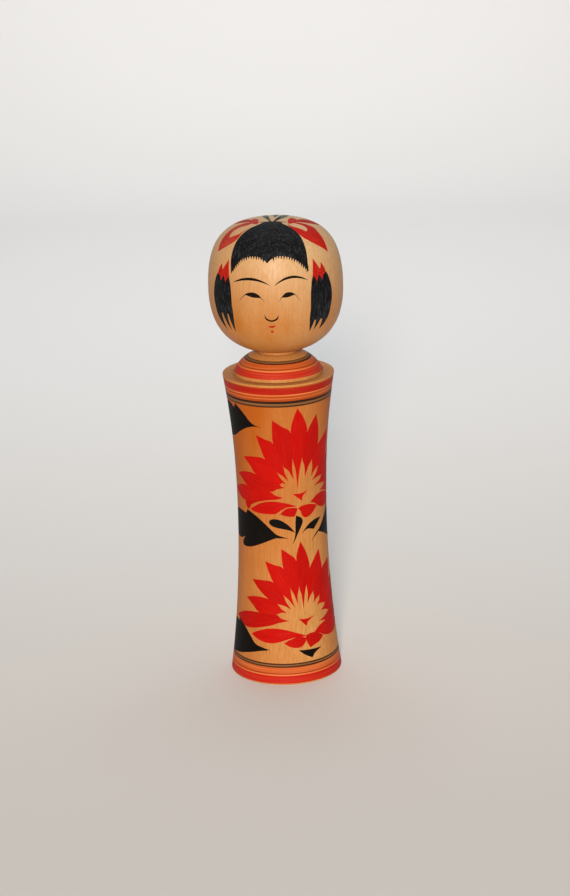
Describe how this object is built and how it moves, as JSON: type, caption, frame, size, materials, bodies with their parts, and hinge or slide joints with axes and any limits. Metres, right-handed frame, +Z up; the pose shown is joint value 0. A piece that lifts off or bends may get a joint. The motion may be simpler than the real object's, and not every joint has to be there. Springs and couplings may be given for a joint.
{
  "type": "kokeshi doll",
  "caption": "Turned wooden doll with a flared waisted body and a large rounded head whose neck bulb snaps into the body, so that the head turns freely.",
  "frame": {"origin": "middle of the foot, on the surface that the doll stands on", "axes": "+Z up along the turning axis, -Y the way the face looks, +X to the doll's own left hand"},
  "size_m": [0.068, 0.068, 0.24],
  "materials": {
    "body_wood": "waxed pale dogwood with a fine upright grain, an orange-tan cast, dyed bands and painted flowers",
    "head_wood": "waxed pale dogwood with a fine upright grain and a painted face and hair",
    "red_dye": "red water dye on waxed wood",
    "orange_dye": "thin orange-red dye on waxed wood, put on in the lathe",
    "black_ink": "black ink brushed on waxed wood, a little speckled",
    "grey_green_dye": "thin grey-green wash on waxed wood"
  },
  "bodies": {
    "body": {"body": "body_wood"},
    "head": {"head": "head_wood"}
  },
  "joints": [
    {"name": "head_turn", "type": "hinge", "parent": "body", "child": "head", "pos_m": [0, 0, 0.165], "axis": [0, 0, 1], "continuous": true}
  ]
}
